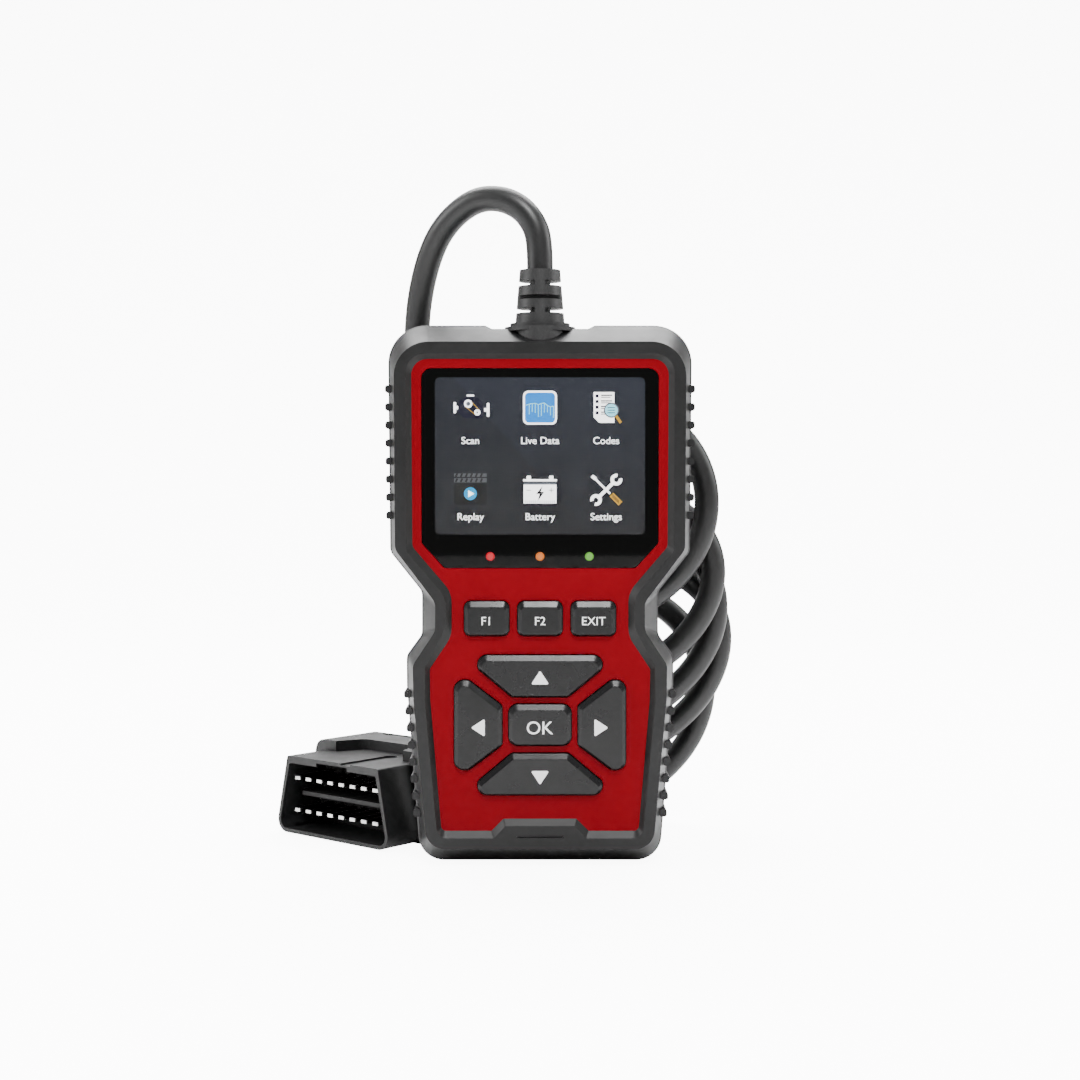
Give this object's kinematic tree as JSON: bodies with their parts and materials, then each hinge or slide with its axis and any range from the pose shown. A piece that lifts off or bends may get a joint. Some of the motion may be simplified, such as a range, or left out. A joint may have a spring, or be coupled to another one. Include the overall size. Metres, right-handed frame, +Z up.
{
  "type": "obd code reader",
  "caption": "Handheld vehicle diagnostic reader: waisted plastic body with colour screen, soft keys, direction pad, and a coiled cord ending in a sixteen-pin plug.",
  "frame": {"origin": "middle of the body's bottom end, on the surface that it stands on", "axes": "+Z up along the body to the cord exit, -Y out of the screen and keys, +X to the right seen from the front"},
  "size_m": [0.1156, 0.0931, 0.1587],
  "materials": {
    "case_plastic": "fine moulded grain, satin",
    "panel_red": "satin red moulding",
    "lens_clear": "polished acrylic window with a black printed border",
    "gasket_black": "matt black foam and print",
    "screen_glass": "polished display glass",
    "steel_sheet": "bright sheet",
    "white_plastic": "natural nylon",
    "flex_film": "amber film",
    "board_laminate": "green solder mask",
    "led_red": "tinted clear epoxy",
    "led_orange": "tinted clear epoxy",
    "led_green": "tinted clear epoxy",
    "mat_rubber": "moulded silicone",
    "contact_gold": "gold flash",
    "screw_steel": "zinc plate",
    "chip_black": "moulded epoxy",
    "ferrite": "sintered ferrite",
    "can_aluminium": "drawn can",
    "wire_cover": "extruded cover",
    "cord_rubber": "satin flexible PVC",
    "plug_plastic": "satin moulded plastic",
    "pin_metal": "tin plated",
    "label_film": "printed film, left blank",
    "key_rubber": "soft-touch moulding",
    "plunger_plastic": "plain moulding"
  },
  "bodies": {
    "case": {"front_case": "case_plastic", "back_case": "case_plastic", "face_panel": "panel_red", "screen_lens": "lens_clear", "lens_gasket": "gasket_black", "lcd_glass": "screen_glass", "lcd_frame": "steel_sheet", "lcd_backlight": "white_plastic", "lcd_flex": "flex_film", "main_board": "board_laminate", "led_red": "led_red", "led_orange": "led_orange", "led_green": "led_green", "keypad_mat": "mat_rubber", "key_contacts": "contact_gold", "case_screws": "screw_steel", "processor": "chip_black", "memory_chip": "chip_black", "can_transceiver": "chip_black", "voltage_regulator": "chip_black", "inductor": "ferrite", "crystal": "steel_sheet", "capacitors": "can_aluminium", "buzzer": "chip_black", "wire_header": "white_plastic", "wire_plug": "white_plastic", "wire_leads": "wire_cover", "strain_relief": "cord_rubber", "cord_arch": "cord_rubber", "cord_coil": "cord_rubber", "cord_tail": "cord_rubber", "plug_shell": "plug_plastic", "plug_insert": "plug_plastic", "plug_pins": "pin_metal", "plug_grip": "plug_plastic", "plug_boot": "cord_rubber", "back_label": "label_film"},
    "button_f1": {"key_f1": "key_rubber", "plunger_f1": "plunger_plastic"},
    "button_f2": {"key_f2": "key_rubber", "plunger_f2": "plunger_plastic"},
    "button_exit": {"key_exit": "key_rubber", "plunger_exit": "plunger_plastic"},
    "button_up": {"key_up": "key_rubber", "plunger_up": "plunger_plastic"},
    "button_down": {"key_down": "key_rubber", "plunger_down": "plunger_plastic"},
    "button_left": {"key_left": "key_rubber", "plunger_left": "plunger_plastic"},
    "button_right": {"key_right": "key_rubber", "plunger_right": "plunger_plastic"},
    "button_ok": {"key_ok": "key_rubber", "plunger_ok": "plunger_plastic"}
  },
  "joints": [
    {"name": "press_f1", "type": "slide", "parent": "case", "child": "button_f1", "axis": [0, 1, 0], "range_m": [0, 0.0009], "stiffness_N_per_m": 400},
    {"name": "press_f2", "type": "slide", "parent": "case", "child": "button_f2", "axis": [0, 1, 0], "range_m": [0, 0.0009], "stiffness_N_per_m": 400},
    {"name": "press_exit", "type": "slide", "parent": "case", "child": "button_exit", "axis": [0, 1, 0], "range_m": [0, 0.0009], "stiffness_N_per_m": 400},
    {"name": "press_up", "type": "slide", "parent": "case", "child": "button_up", "axis": [0, 1, 0], "range_m": [0, 0.0009], "stiffness_N_per_m": 400},
    {"name": "press_down", "type": "slide", "parent": "case", "child": "button_down", "axis": [0, 1, 0], "range_m": [0, 0.0009], "stiffness_N_per_m": 400},
    {"name": "press_left", "type": "slide", "parent": "case", "child": "button_left", "axis": [0, 1, 0], "range_m": [0, 0.0009], "stiffness_N_per_m": 400},
    {"name": "press_right", "type": "slide", "parent": "case", "child": "button_right", "axis": [0, 1, 0], "range_m": [0, 0.0009], "stiffness_N_per_m": 400},
    {"name": "press_ok", "type": "slide", "parent": "case", "child": "button_ok", "axis": [0, 1, 0], "range_m": [0, 0.0009], "stiffness_N_per_m": 400}
  ]
}
